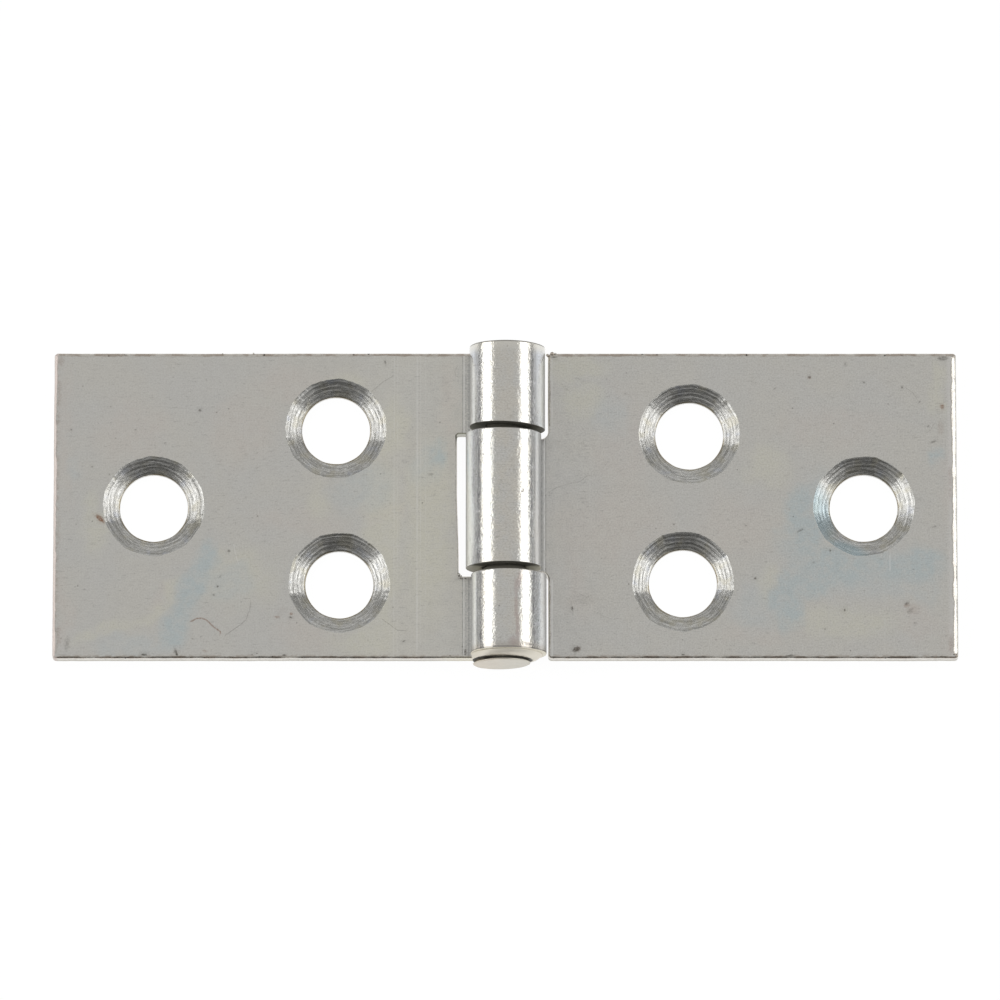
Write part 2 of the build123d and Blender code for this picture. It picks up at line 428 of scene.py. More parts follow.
PALE_HAIRS = {
    -1: [
        (0.04, 0.6, (-21.91, -3.16), (-21.75, -4.0), (-21.5, -4.81)),
        (0.03, 0.4, (-22.4, -2.6), (-22.1, -3.9)),
    ],
    1: [(0.05, 0.7, (31.01, -4.07), (31.01, -5.38)), (0.03, 0.4, (30.6, -8.1), (30.55, -12.0))],
}


def rolled_in_dashes():
    """Short slanted dashes that the rolls left in a patch of the two-knuckle leaf."""
    noise.seed_set(77)
    dashes = []
    for row in range(11):
        for column in range(5):
            x = -22.4 + 1.15 * column + 0.5 * (row % 2) + 0.45 * noise.random()
            y = 4.3 - 0.66 * row + 0.3 * noise.random()
            half_width = 0.13 + 0.1 * noise.random()
            dashes.append((x, y, half_width, 0.035, 0.12 + 0.22 * noise.random(), 14))
    return dashes


DIRT_MARKS[-1] += rolled_in_dashes()


def in_ellipse(points, x, y, half_width, half_height, turn=0):
    """Distance from an ellipse's centre, 1 on its outline."""
    a = math.radians(turn)
    d = points - (x, y)
    return np.hypot(
        (d[:, 0] * math.cos(a) + d[:, 1] * math.sin(a)) / half_width,
        (d[:, 1] * math.cos(a) - d[:, 0] * math.sin(a)) / half_height,
    )


def hair_points(hair, rails):
    """Points along a hairline and on rails beside it, given as shares of its half width."""
    spots = []
    width, line = hair[0], np.array(hair[2:])
    for a, b in zip(line[:-1], line[1:]):
        length = np.linalg.norm(b - a)
        normal = np.array([a[1] - b[1], b[0] - a[0]]) / length
        for t in np.linspace(0, 1, max(2, int(length / 0.09)), endpoint=False):
            sway = noise.noise(Vector((a[0] * 3 + t * length * 3, a[1], 0)))
            at = a + (b - a) * t + normal * 0.02 * sway
            spots += [at + normal * width * rail for rail in rails]
    return np.array(spots)


def mark_points(side):
    """Extra mesh points round every small mark of a leaf."""
    turn = np.linspace(0, 2 * math.pi, 10, endpoint=False)
    spots = []
    for x, y, half_width, half_height, _, *angle in DIRT_MARKS[side] + RUST_MARKS[side]:
        a = math.radians(sum(angle))
        for share in (0.0, 0.7, 1.3):
            u, v = share * half_width * np.cos(turn), share * half_height * np.sin(turn)
            ring = np.stack(
                [x + u * math.cos(a) - v * math.sin(a), y + u * math.sin(a) + v * math.cos(a)], 1
            )
            spots.append(ring[:1] if share == 0 else ring)
    for hair in DARK_HAIRS[side] + RUST_HAIRS[side] + PALE_HAIRS[side]:
        spots.append(hair_points(hair, (-1.5, 0, 1.5)))
    return np.vstack(spots)


def mark_values(points, side):
    """Dirt, rust and shine at points on the front face."""
    dirt, rust, shine = np.zeros((3, len(points)))
    for values, marks in ((dirt, DIRT_MARKS), (rust, RUST_MARKS)):
        for *ellipse, strength in [(*mark[:4], *mark[5:], mark[4]) for mark in marks[side]]:
            cover = strength * np.clip(1.48 - in_ellipse(points, *ellipse), 0, 1)
            np.maximum(values, cover, out=values)
    for values, hairs in ((dirt, DARK_HAIRS), (rust, RUST_HAIRS), (shine, PALE_HAIRS)):
        for hair in hairs[side]:
            spots = hair_points(hair, (0,))
            gap = np.sqrt(((points[:, None, :] - spots[None, :, :]) ** 2).sum(2).min(1))
            np.maximum(values, hair[1] * np.clip(1.4 - 1.2 * gap / hair[0], 0, 1), out=values)
    return np.stack([dirt, rust, shine], 1)


def stain_values(points, side):
    """Blue, pale blue, olive and pink at points on the front face."""
    pushed = points
    for rate, depth, reach in ((0.5, 3.0, 0.9), (1.5, 7.0, 0.4)):
        push = [noise.noise_vector(Vector((*(p * rate), depth)))[:2] for p in points]
        pushed = pushed + np.array(push) * reach
    return np.stack(
        [
            np.max([smooth((1.45 - in_ellipse(pushed, *e)) / 0.9) for e in ellipses], axis=0)
            for ellipses in STAINS[side]
        ],
        1,
    )


def add_nub(shell, s, y, n, size, seed):
    """A crumb of burr stuck to the edge."""
    rows, turns = 7, 12
    turn = np.linspace(0, 2 * math.pi, turns, endpoint=False)
    rings = []
    for i in range(rows + 1):
        tilt = math.pi * i / rows
        around = turn if 0 < i < rows else turn[:1]
        flat = math.sin(tilt) * np.stack([np.cos(around), np.sin(around)])
        unit = np.vstack([flat, np.full(len(around), math.cos(tilt))]).T
        lumps = [noise.noise(Vector(u) * 1.9 + Vector((seed, 0, 0))) for u in unit]
        place = unit * (size * (1 + 0.5 * np.array(lumps)))[:, None]
        rings.append(shell.add(s + place[:, 0], y + place[:, 1], n + 0.8 * place[:, 2]))
    for upper, lower in zip(rings[:-1], rings[1:]):
        for k in range(turns):
            j = (k + 1) % turns
            if len(upper) == 1:
                shell.faces.append((lower[k], lower[j], upper[0]))
            elif len(lower) == 1:
                shell.faces.append((lower[0], upper[j], upper[k]))
            else:
                shell.faces.append((lower[k], lower[j], upper[j], upper[k]))
            shell.slots.append(EDGE)


def loosen(path, side):
    """Moves the outline as the real one's is: a slightly askew upper gap, raised edges of the
    notches and, in the two-knuckle leaf, a slanted side of the notch."""
    s, y = path[:, 0], path[:, 1]
    askew = (np.abs(y - UPPER_GAP) < 0.7) * smooth((-0.8 - s) / 1.5)
    across = side * np.sin(np.minimum(s, 0) / KNUCKLE_RADIUS)
    below = 0.15 - 0.12 * np.minimum(across, 0)
    y += askew * np.where(y < UPPER_GAP, below, 0.09 - 0.12 * across)
    by_notch = smooth((s - 0.6) / 1.4) * (s < 5)
    if side > 0:
        y += 0.22 * by_notch * (y > 5.2) * (1 - smooth((y - 5.9) / 1.2))
    else:
        y += 0.29 * by_notch * (y > -6.2) * smooth((-4.6 - y) / 1.4)
        s -= 0.15 * (np.abs(y) < 6.2) * (s > 3.4) * (s < 5) * smooth((2.0 - y) / 7.0)


def edge_loops(shell, path, side, seed):
    """Rings up the sheared edge, from the back face to the front one."""
    s, y = path[:, 0], path[:, 1]
    normal = inward(path)
    flat = np.clip((s - 2.3) / 1.0, 0, 1)
    notch = (np.abs(y) < 6.6) & (s < 4.5)
    roll = 0.045 + 0.155 * flat * np.where(notch, 0.45, 1.0)
    roll *= 1 + 0.30 * wobble(path, 0.9, seed + 20.5) + 0.2 * wobble(path, 0.25, seed + 31.5)
    # The one-knuckle leaf's free end is rolled over wider and deeper
    end = (normal[:, 0] < -0.97) * smooth((HALF_LENGTH - 0.2 - np.abs(y)) / 0.06) * (side > 0)
    roll *= 1 + 0.9 * end - 0.3 * np.clip(normal[:, 1], 0, 1) * flat
    # The knuckles' outer rims are rounder
    clear_of_tip = smooth((s - S_TIP - 0.25) / 0.3)
    rounder = np.where(y > 12, 2.4, 0.8) * (np.abs(y) > 12) * smooth(-s / 1.0)
    rounder = 1 + rounder * clear_of_tip
    jitter = (0.010 * wobble(path, 0.5, seed + 41.5) + 0.012 * wobble(path, 2.6, seed + 1.5)) * flat
    # No ring folds over itself in a corner, and no three points are in line
    most = 0.075 + 0.055 * clear_of_tip + 0.155 * flat + 0.30 * end
    most -= 0.001 * (np.arange(len(path)) % 3)
    loops = []
    for inset, share, n in PROFILE:
        rough = 0.010 * wobble(path, 0.22, seed + 50 + 3 * n) * flat if 0.02 < n < 1.0 else 0
        if n < 0.05:
            height = n * rounder
            inset = inset * np.where(inset < 0.1, rounder, 1.0)
        else:
            height = THICKNESS - (THICKNESS - n) * (1 + 0.7 * end * (n > 1.0))
        reach = inset + share * roll + (np.maximum(jitter, -0.01) + 0.012 + rough) * flat
        spot = path + normal * np.minimum(reach, most)[:, None]
        loops.append(shell.add(spot[:, 0], spot[:, 1], height))
    return loops


def edge_slots(shell, ring, level):
    """Material slots of the band above a ring of the edge."""
    slots = []
    for s, y in shell.plan(ring):
        if level == 0:
            slots.append(BARREL if s < 0 else BACK)
        elif level == len(PROFILE) - 2:
            slots.append(BORE if s < 0 else FRONT)
        elif s < 2.4 and abs(y) < 6.5:
            slots.append(BARREL if level == 1 and s < -1 else GAP)
        else:
            slots.append(EDGE)
    return slots


def leaf_mesh(name, corners, centres, nubs, side, seed):
    """Builds one leaf as a fine mesh, towards +X, and mirrors it where side is -1."""
    shell = Shell()
    path = rounded_path(corners)
    loosen(path, side)
    loops = edge_loops(shell, path, side, seed)
    for level, (low, high) in enumerate(zip(loops[:-1], loops[1:])):
        shell.band(low, high, edge_slots(shell, low, level))
    sinks = []
    for number, (centre, sides) in enumerate(zip(centres, (10, 11, 9))):
        noise.seed_set(int(seed * 10) + number + 1)
        sinks.append(sink_rings(shell, centre, seed + 13.37 * number, sides))
    for top, outline, rings in zip((True, False), (loops[-1], loops[0]), zip(*sinks)):
        edge = shell.plan(outline)
        step, knuckle_step = (0.42, 1.1) if top else (0.8, 0.7)
        extra = np.vstack([grid(0.1, S_END, step, step), grid(S_TIP, -0.06, 0.13, knuckle_step)])
        extra = away_from(extra, edge, 0.09)
        if top:
            marks = mark_points(side) * (side, 1) + (KNUCKLE_LEAN, 0)
            extra = np.vstack([away_from(extra, marks, 0.11), marks])
            onward = np.roll(edge, -1, 0) - edge
            nearby = np.vstack([edge + onward * t for t in (0, 0.25, 0.5, 0.75)])
            extra = away_from(extra, nearby, 0.03)
        for ring in rings:
            hole = shell.plan(ring)
            extra = away_from(extra[~inside(extra, hole)], hole, 0.05)
        extra = extra[inside(extra, edge)]
        height, slots = (THICKNESS, (FRONT, BORE)) if top else (0.0, (BACK, BARREL))
        shell.fill([outline, *rings], extra, height, slots, upward=top)
    for number, nub in enumerate(nubs):
        add_nub(shell, *nub, seed + number)
    points, sheet, faces = np.array(shell.points), np.array(shell.sheet), shell.faces
    if side < 0:
        # The lower knuckle's outside stands a little further over
        outside = smooth(-sheet[:, 0] / 3.0) * np.clip(1 - sheet[:, 2] / THICKNESS, 0, 1)
        points[:, 0] -= 0.11 * outside * (sheet[:, 1] < -5.0)
        points[:, 0] *= -1
        faces = [face[::-1] for face in faces]
    mesh = smooth_mesh(name, points, faces)
    front = (sheet[:, 2] > THICKNESS - 0.1) & (sheet[:, 0] > 0)
    place = (sheet[front, :2] - (KNUCKLE_LEAN, 0)) * (side, 1)
    marks, stains = np.zeros((len(sheet), 3)), np.zeros((len(sheet), 4))
    marks[front] = mark_values(place, side)
    stains[front] = stain_values(place, side)
    for label, values in (
        ("sheet", sheet), ("cut", np.array(shell.cut)), ("marks", marks), ("stains", stains)
    ):
        kind, key = ("COLOR", "color") if label == "stains" else ("VECTOR", "vector")
        layer = mesh.attributes.new(label, "FLOAT_" + kind, "POINT")
        layer.data.foreach_set(key, values.astype(np.float32).ravel())
    mesh.polygons.foreach_set("material_index", np.array(shell.slots, np.int32))
    mesh.validate()
    mesh.update()
    return link(name, mesh)


def revolve(profile, turns, rough, seed):
    """Points and faces of an upset piece round the pin's axis, from (radius, y) points with
    an offset across the leaves where there is one."""
    rows, points, faces = [], [], []
    for radius, y, *offset in profile:
        row = []
        for k in range(turns if radius > 0 else 1):
            a = 2 * math.pi * k / turns
            bump = noise.noise(Vector((math.cos(a) * 2.1, math.sin(a) * 2.1, y * 1.3 + seed)))
            r = radius * (1 + rough * bump)
            row.append(len(points))
            x, z = sum(offset) + r * math.cos(a), KNUCKLE_RADIUS + r * math.sin(a)
            points.append((x, y, z))
        rows.append(row)
    for low, high in zip(rows[:-1], rows[1:]):
        for k in range(turns):
            j = (k + 1) % turns
            if len(low) == 1:
                faces.append((low[0], high[k], high[j]))
            elif len(high) == 1:
                faces.append((low[k], high[0], low[j]))
            else:
                faces.append((low[k], high[k], high[j], low[j]))
    return np.array(points), faces


# Camera at the photograph's angle

camera = link("camera", bpy.data.cameras.new("camera"))
bpy.context.scene.camera = camera
camera.data.sensor_width = 36
camera.data.lens = 378.4
camera.data.clip_start = 0.01
camera.data.clip_end = 20
elevation = math.radians(78.64)
back = Vector((0, -math.cos(elevation), math.sin(elevation)))
camera.location = Vector((-0.000434, 0.000762, 0)) + back * 0.85
camera.rotation_mode = "QUATERNION"
camera.rotation_quaternion = (-back).to_track_quat("-Z", "Y")


# Materials

class Value:
    """A shader's value or vector, with plain arithmetic on values."""

    def __init__(self, tree, socket):
        self.tree, self.socket = tree, socket

    def maths(self, operation, other=0.0):
        return self.tree.value("Math", {0: self, 1: other}, operation=operation)

    def __mul__(self, other):
        return self.maths("MULTIPLY", other)

    def __add__(self, other):
        return self.maths("ADD", other)

    def __sub__(self, other):
        return self.maths("SUBTRACT", other)

    def __or__(self, other):
        """The larger of the two."""
        return self.maths("MAXIMUM", other)

    def __abs__(self):
        return self.maths("ABSOLUTE")

    def away(self, centre):
        """Distance from a centre."""
        return abs(self - centre)

    def span(self, low, high, least=0.0, most=1.0, kind="SMOOTHSTEP"):
        """Goes from least to most while the value goes from low to high."""
        ends = {"From Min": low, "From Max": high, "To Min": least, "To Max": most}
        return self.tree.value("MapRange", {"Value": self, **ends}, interpolation_type=kind)

    def blend(self, a, b):
        """Goes from a to b while the value goes from 0 to 1."""
        return self.tree.value("Mix", {0: self, 2: a, 3: b})


class Tree:
    """Short names for making shader nodes, and the colour painted so far."""

    def __init__(self, owner, base=(0, 0, 0)):
        self.nodes, self.links = owner.node_tree.nodes, owner.node_tree.links
        self.nodes.clear()
        self.color = (*base, 1)

    def node(self, kind, inputs=None, **settings):
        node = self.nodes.new("ShaderNode" + kind)
        for key, value in settings.items():
            setattr(node, key, value)
        for key, value in (inputs or {}).items():
            if isinstance(value, Value):
                self.links.new(value.socket, node.inputs[key])
            else:
                node.inputs[key].default_value = value
        return node

    def value(self, kind, inputs=None, output=0, **settings):
        return Value(self, self.node(kind, inputs, **settings).outputs[output])

    def vector(self, operation, a, b=(0, 0, 0), output=0):
        return self.value("VectorMath", {0: a, 1: b}, output, operation=operation)

    def axes(self, vector):
        made = self.node("SeparateXYZ", {0: vector})
        return [Value(self, socket) for socket in made.outputs]

    def channels(self, color):
        made = self.node("SeparateColor", {0: color})
        return [Value(self, socket) for socket in made.outputs]

    def attribute(self, name, output="Vector"):
        return self.value("Attribute", output=output, attribute_name=name)

    def place(self, z=MILLIMETRES):
        """Object coordinates in millimetres, with z taken out where it is 0."""
        point = self.value("TexCoord", output="Object")
        return self.vector("MULTIPLY", point, (MILLIMETRES, MILLIMETRES, z))

    def noise(self, point, scale, detail=3.0, rough=0.6, turn=0.0, output="Fac"):
        """Noise from 0 to 1, stretched where scale has three numbers."""
        if isinstance(scale, tuple):
            stretch = {"Vector": point, "Scale": scale, "Rotation": (0, 0, turn)}
            point, scale = self.value("Mapping", stretch), 1.0
        look = {"Vector": point, "Scale": scale, "Detail": detail, "Roughness": rough}
        return self.value("TexNoise", look, output)

    def dots(self, point, scale, wide, tight, fewest, most, strength=1.0):
        """Scattered dots, on the cells whose own random number is high enough."""
        cells = self.node("TexVoronoi", {"Vector": point, "Scale": scale, "Randomness": 1.0})
        pick = self.channels(Value(self, cells.outputs["Color"]))[0]
        dot = Value(self, cells.outputs["Distance"]).span(wide, tight)
        return dot * pick.span(fewest, most, 0, strength)

    def warped(self, point, scale, amount):
        """The point pushed about by noise, for ragged stain edges."""
        push = self.noise(point, scale, 2.0, 0.5, output="Color")
        push = self.vector("SUBTRACT", push, (0.5, 0.5, 0.5))
        push = self.vector("MULTIPLY", push, (amount, amount, 0))
        return self.vector("ADD", point, push)

    def spots(self, point, ellipses, soft):
        """1 in any of the ellipses, 0 outside, with soft rims."""
        found = None
        for x, y, half_width, half_height, turn in ellipses:
            frame_of_ellipse = {
                "Vector": point, "Location": (x, y, 0), "Rotation": (0, 0, math.radians(turn)),
                "Scale": (half_width, half_height, 1),
            }
            local = self.value("Mapping", frame_of_ellipse, vector_type="TEXTURE")
            spot = self.vector("LENGTH", local, output="Value").span(1 + soft, 1 - soft)
            found = spot if found is None else found | spot
        return found

    def coat(self, weight, paint, blend="MIX"):
        """Lays a paint over the colour so far."""
        layers = {0: weight, 6: self.color, 7: (*paint, 1)}
        self.color = self.value("Mix", layers, 2, data_type="RGBA", blend_type=blend)

    def finish(self, roughness, height, depth, strength, metallic=1.0):
        """Metal of the colour so far, with a bump of the given depth in metres."""
        bump = self.value("Bump", {"Strength": strength, "Distance": depth, "Height": height})
        look = {"Base Color": self.color, "Metallic": metallic, "Roughness": roughness}
        shader = self.value("BsdfPrincipled", {**look, "Normal": bump})
        self.node("OutputMaterial", {0: shader})


def new_material(name, base=(0, 0, 0)):
    material = bpy.data.materials.new(name)
    material.use_nodes = True
    return material, Tree(material, base)


BLUE = (0.582, 0.658, 0.666)
PALE_BLUE = (0.645, 0.680, 0.672)
OLIVE = (0.775, 0.755, 0.630)
PINK = (0.730, 0.665, 0.605)
DIRT = (0.090, 0.078, 0.062)
RUST = (0.270, 0.130, 0.070)
BROWN = (0.330, 0.250, 0.190)
BRIGHT = (0.90, 0.89, 0.86)
CREAM = (0.84, 0.80, 0.71)

# Pale lines drawn by the forming tool: reach, half width and strength
TOOL_LINES = (
    (8.99, 0.06, 0.26), (8.72, 0.05, 0.18), (7.12, 0.11, 0.34), (6.86, 0.06, 0.22),
    (6.45, 0.05, 0.16),
)


def front_material(name, side):
    """Satin plate with its mottling, stains, specks and scratches."""
    material, tree = new_material(name, (0.682, 0.671, 0.634))
    point = tree.place(z=0)
    reach, along, _ = tree.axes(tree.attribute("sheet"))
    tree.coat(tree.noise(point, 0.16).span(0.36, 0.66), (0.696, 0.676, 0.622))
    blue, pale_blue, olive = tree.channels(tree.attribute("stains", "Color"))
    pink = tree.attribute("stains", "Alpha")
    mottle = tree.noise(point, 1.1, 4.0, 0.65)
    ragged = mottle.span(0.36, 0.60, 0.50, 1.0)
    for stain, share, paint in (
        (pink, 0.42, PINK), (olive, 0.60, OLIVE), (pale_blue, 0.66, PALE_BLUE), (blue, 0.95, BLUE)
    ):
        tree.coat(stain * share * ragged, paint)
    if side < 0:
        tree.coat(reach.span(14.5, 8.5), (1.065, 1.060, 1.035), "MULTIPLY")
    tree.coat(mottle.span(0.25, 0.75, 0, 0.22), (0.50, 0.49, 0.465))
    dashes = tree.noise(point, (1.3, 7.0, 1), turn=-0.12)
    tree.coat(dashes.span(0.56, 0.76, 0, 0.30), (0.36, 0.35, 0.33))
    rolling = tree.noise(point, (0.05, 9.0, 1))
    tree.coat(rolling.span(0.3, 0.7, 0, 0.06), (0.46, 0.455, 0.43))
    uprights = tree.noise(point, (9.0, 0.12, 1))
    tree.coat(uprights.span(0.45, 0.75, 0, 0.05), (0.85, 0.84, 0.80))
    grain = tree.noise(point, 8.0, 2.0)
    rougher = 1.5 if side > 0 else 1.1
    tree.coat(grain.span(0.45, 0.72, 0, 0.22 * rougher), (0.40, 0.39, 0.37))
    tree.coat(grain.span(0.47, 0.27, 0, 0.20 * rougher), BRIGHT)
    # Fine curved scratches, each a stretch of a noise contour
    for scale, shift in ((0.75, 1.7), (1.25, 8.3)):
        bends = tree.noise(tree.vector("ADD", point, (shift, shift, 0)), scale, 2.0, 0.5)
        contour = bends.away(0.5).span(0.010, 0.002) * dashes.span(0.48, 0.62, 0, 0.22)
        tree.coat(contour, (0.28, 0.27, 0.25))
    if side > 0:
        tree.coat(reach.span(S_END - 1.0, S_END - 0.40, 0, 0.45), (0.82, 0.80, 0.77))
    # Brown tarnish along the sheared edges
    patchy = tree.noise(point, 2.4)
    ends = reach.span(S_END - 0.60, S_END - 0.22)
    sides = abs(along).span(HALF_LENGTH - 0.36, HALF_LENGTH - 0.18)
    tree.coat((ends | sides) * patchy.span(0.40, 0.62, 0.0, 0.40), BROWN)
    # The face is pressed where the knuckle stands on it, and painted shade lies there as a darker
    # patchy band with two dark lines beside it
    seam_end = KNUCKLE_RADIUS + (0.40 if side < 0 else 0.22)
    seam = reach.span(seam_end, seam_end - 0.07)
    tree.coat(seam * grain.span(0.35, 0.65, 0.04, 0.32), (0.30, 0.31, 0.33))
    for line, share in ((seam_end + 0.14, 0.45), (KNUCKLE_RADIUS + 0.04, 0.60)):
        line = reach.away(line).span(0.06, 0.015) * patchy.span(0.3, 0.6, 0.3 * share, share)
        tree.coat(line, (0.20, 0.20, 0.19))
    shine = reach.away(seam_end + 0.05).span(0.06, 0.02) * patchy.span(0.3, 0.6, 0.25, 0.8)
    if side > 0:
        lip = reach.away(3.92).span(0.10, 0.03) * along.span(4.0, -8.0, 0.22, 0.45)
        shine = shine | lip * abs(along).span(5.9, 6.2)
    # Small marks, hairlines and specks
    dirt, rust, scratch = tree.axes(tree.attribute("marks"))
    fray = grain.span(0.35, 0.60, 0.55, 1.0)
    tree.coat(tree.dots(point, 0.9, 0.075, 0.035, 0.60, 0.95, 0.5), DIRT)
    for mark, paint in ((rust, RUST), (dirt, DIRT)):
        tree.coat(mark.span(0.05, 1.0, 0, 0.90, "LINEAR") * fray, paint)
    shine = scratch.span(0.1, 0.9, 0, 0.7) | shine
    if side < 0:
        worn = tree.noise(point, (1.0, 0.35, 1)).span(0.35, 0.6, 0.25, 1.0)
        for at, width, share in TOOL_LINES:
            line = reach.away(at + KNUCKLE_LEAN).span(width, width * 0.2, 0.0, share)
            shine = shine | line * worn
    tree.coat(shine, (0.92, 0.91, 0.88))
    height = grain * 0.35 + mottle * 0.9 - seam * 1.2
    tree.finish(mottle.span(0.3, 0.7, 0.32, 0.40), height, 0.000008, 0.6)
    return material


def back_material(name, side):
    """Plain plate, scraped and specked."""
    material, tree = new_material(name, (0.61, 0.612, 0.592))
    point = tree.place(z=0)
    tree.coat(tree.noise(point, 0.2).span(0.35, 0.68), (0.665, 0.645, 0.598))
    tone = tree.noise(point, 0.9, 4.0, 0.65)
    tree.coat(tone.span(0.25, 0.75, 0.0, 0.12), (0.46, 0.45, 0.425))
    scrapes = tree.noise(point, (0.22, 8.0, 1), turn=0.25)
    tree.coat(scrapes.span(0.60, 0.75, 0, 0.25), (0.84, 0.83, 0.79))
    tree.coat(tree.dots(point, 0.8, 0.08, 0.03, 0.6, 0.64, 0.6), DIRT)
    height = tree.noise(point, 6.0) + scrapes * -0.5
    tree.finish(tone.span(0.3, 0.7, 0.27, 0.40), height, 0.000008, 0.5)
    return material


def barrel_material(name, side):
    """Knuckle: burnished by the rolling die, so brighter and smoother than the flat."""
    material, tree = new_material(name, (0.675, 0.665, 0.630))
    point = tree.attribute("sheet")
    around, along, _ = tree.axes(point)
    cloud = tree.noise(point, 0.45)
    tree.coat(cloud.span(0.35, 0.65), (0.700, 0.670, 0.605))
    # Bluer down the sides, where the plating is thicker, and plain on the flat back
    flank = abs(around + HALF_TURN)
    tree.coat(flank.span(1.9, 3.0, 0, 0.80) * flank.span(8.2, 5.4), (0.610, 0.640, 0.690))
    flat_end = flank.span(6.2, 9.4)
    tree.coat(flat_end, (0.638, 0.628, 0.595))
    rings = tree.noise(point, (0.45, 10.0, 1), 4.0, 0.65)
    tree.coat(rings.span(0.52, 0.75, 0, 0.30), (0.40, 0.39, 0.36))
    grain = tree.noise(point, (6.0, 8.0, 1), 3.0, 0.7)
    tree.coat(grain.span(0.50, 0.72, 0, 0.42), (0.38, 0.37, 0.34))
    tree.coat(grain.span(0.48, 0.30, 0, 0.30), BRIGHT)
    tree.coat(tree.noise(point, 1.6).span(0.56, 0.74, 0, 0.30), (0.42, 0.40, 0.36))
    # A band of painted dark reflection low on each side, broken up by noise, with darker noisy
    # patches lower still
    band_noise = tree.noise(point, (4.5, 1.1, 1), 4.0, 0.7)
    drift = flank + (band_noise - 0.5) * 0.8
    dark_reflection_band = drift.span(2.15, 2.45) * drift.span(3.15, 2.70)
    tree.coat(dark_reflection_band * band_noise.span(0.30, 0.60, 0.25, 0.80), (0.33, 0.33, 0.33))
    tree.coat(band_noise.span(0.52, 0.66) * flank.span(2.9, 3.2, 0, 0.35), (0.25, 0.25, 0.25))
    tree.coat(tree.dots(point, 1.3, 0.10, 0.05, 0.62, 0.66, 0.7), (0.20, 0.19, 0.17))
    if side < 0:
        tree.coat(along.span(11.6, 12.3, 0, 0.75), (0.80, 0.775, 0.70))
        ragged = tree.warped(point, 2.0, 0.45)
        wine = [
            (-8.75, -10.0, 0.16, 2.7, 3), (-8.65, -7.1, 0.26, 0.9, -12),
            (-9.0, -12.0, 0.4, 0.4, 0),
        ]
        tree.coat(tree.spots(ragged, wine, 0.6) * 0.34, (0.44, 0.30, 0.27))
        smudges = [(-11.9, -11.3, 0.13, 0.30, 0), (-7.75, -12.1, 0.5, 0.10, 0)]
        tree.coat(tree.spots(ragged, smudges, 0.5) * 0.7, (0.20, 0.20, 0.20))
        # Darker and browner towards the lower rim, and a line of painted shade along the rim itself
        tree.coat(tree.axes(ragged)[1].span(-11.7, -12.3, 0, 0.40), (0.40, 0.35, 0.29))
        tree.coat(along.span(-12.28, -12.38, 0, 0.55), (0.14, 0.13, 0.12))
    dents = tree.dots(point, 0.55, 0.11, 0.02, 0.80, 0.84)
    ripple = tree.noise(point, (3.2, 2.6, 1))
    peel = tree.noise(point, (5.5, 4.8, 1), 2.0)
    height = rings * 0.12 + ripple * 0.55 + peel * 0.55 - dents * 0.8
    gloss = flat_end.blend(cloud.span(0.3, 0.7, 0.12, 0.18), 0.33)
    tree.finish(gloss, height * flat_end.span(0, 1, 1, 0.2), 0.00004, 0.8)
    return material


def edge_material(name, side):
    """Sheared edge: smooth and bright near the front, broken and matt towards the back."""
    material, tree = new_material(name, (0.62, 0.60, 0.555))
    point = tree.attribute("sheet")
    reach, along, depth = tree.axes(point)
    streaks = tree.noise(point, (7.0, 7.0, 0.7))
    crumbs = tree.noise(point, (5.0, 5.0, 7.0), 3.0, 0.65)
    broken = (depth + (streaks - 0.5) * 0.5).span(0.72, 0.60)
    tree.coat(streaks.span(0.3, 0.7), (0.69, 0.665, 0.61))
    tree.coat(broken * 0.6, (0.56, 0.535, 0.48))
    tree.coat(crumbs.span(0.55, 0.75, 0, 0.3), (0.36, 0.32, 0.27))
    # Tarnish on the roll at the front, mostly along the long sides
    patchy = tree.noise(point, (0.8, 0.8, 0.2), 4.0, 0.7)
    long_side = abs(along).span(HALF_LENGTH - 0.4, HALF_LENGTH - 0.3, 0.25, 1.0)
    tarnish = depth.span(1.08, 1.2) * patchy.span(0.40, 0.60, 0.15, 0.75)
    tree.coat(tarnish * long_side, (0.34, 0.275, 0.22))
    beads = tree.noise(point, (1.9, 1.9, 0.2), 2.0).span(0.66, 0.72) * depth.span(1.02, 1.12)
    tree.coat(beads * long_side, (0.05, 0.045, 0.035))
    # The knuckles' ends: darker along the upper rim, and the lower end face painted pale as painted
    # light
    knuckle = reach.span(1.0, 0.0)
    tree.coat(knuckle * along.span(12.3, 12.4, 0, 0.6), (0.16, 0.155, 0.14))
    tree.coat(knuckle * along.span(-12.35, -12.42), (0.84, 0.80, 0.72))
    roughness = broken.span(0, 1, 0.24, 0.48, "LINEAR")
    if side < 0:
        corner = reach.span(6.5, 3.5) * along.span(-12.2, -12.35)
        tree.coat(corner * 0.75, (0.72, 0.68, 0.56))
        notch_wall = along.span(5.5, 5.6) * along.span(6.6, 6.5)
        tree.coat(notch_wall * depth.span(0.1, 1.2, 0.25, 0.90), (0.27, 0.27, 0.21))
        # The free end's rolled edge painted greyish pink as a painted reflection, and rougher
        end = reach.span(S_END - 0.45, S_END - 0.30)
        tree.coat(end, (0.66, 0.59, 0.55))
        roughness = end.blend(roughness, 0.55)
    tree.finish(roughness, streaks * 0.6 + crumbs * broken * 1.6, 0.00003, 0.7)
    return material


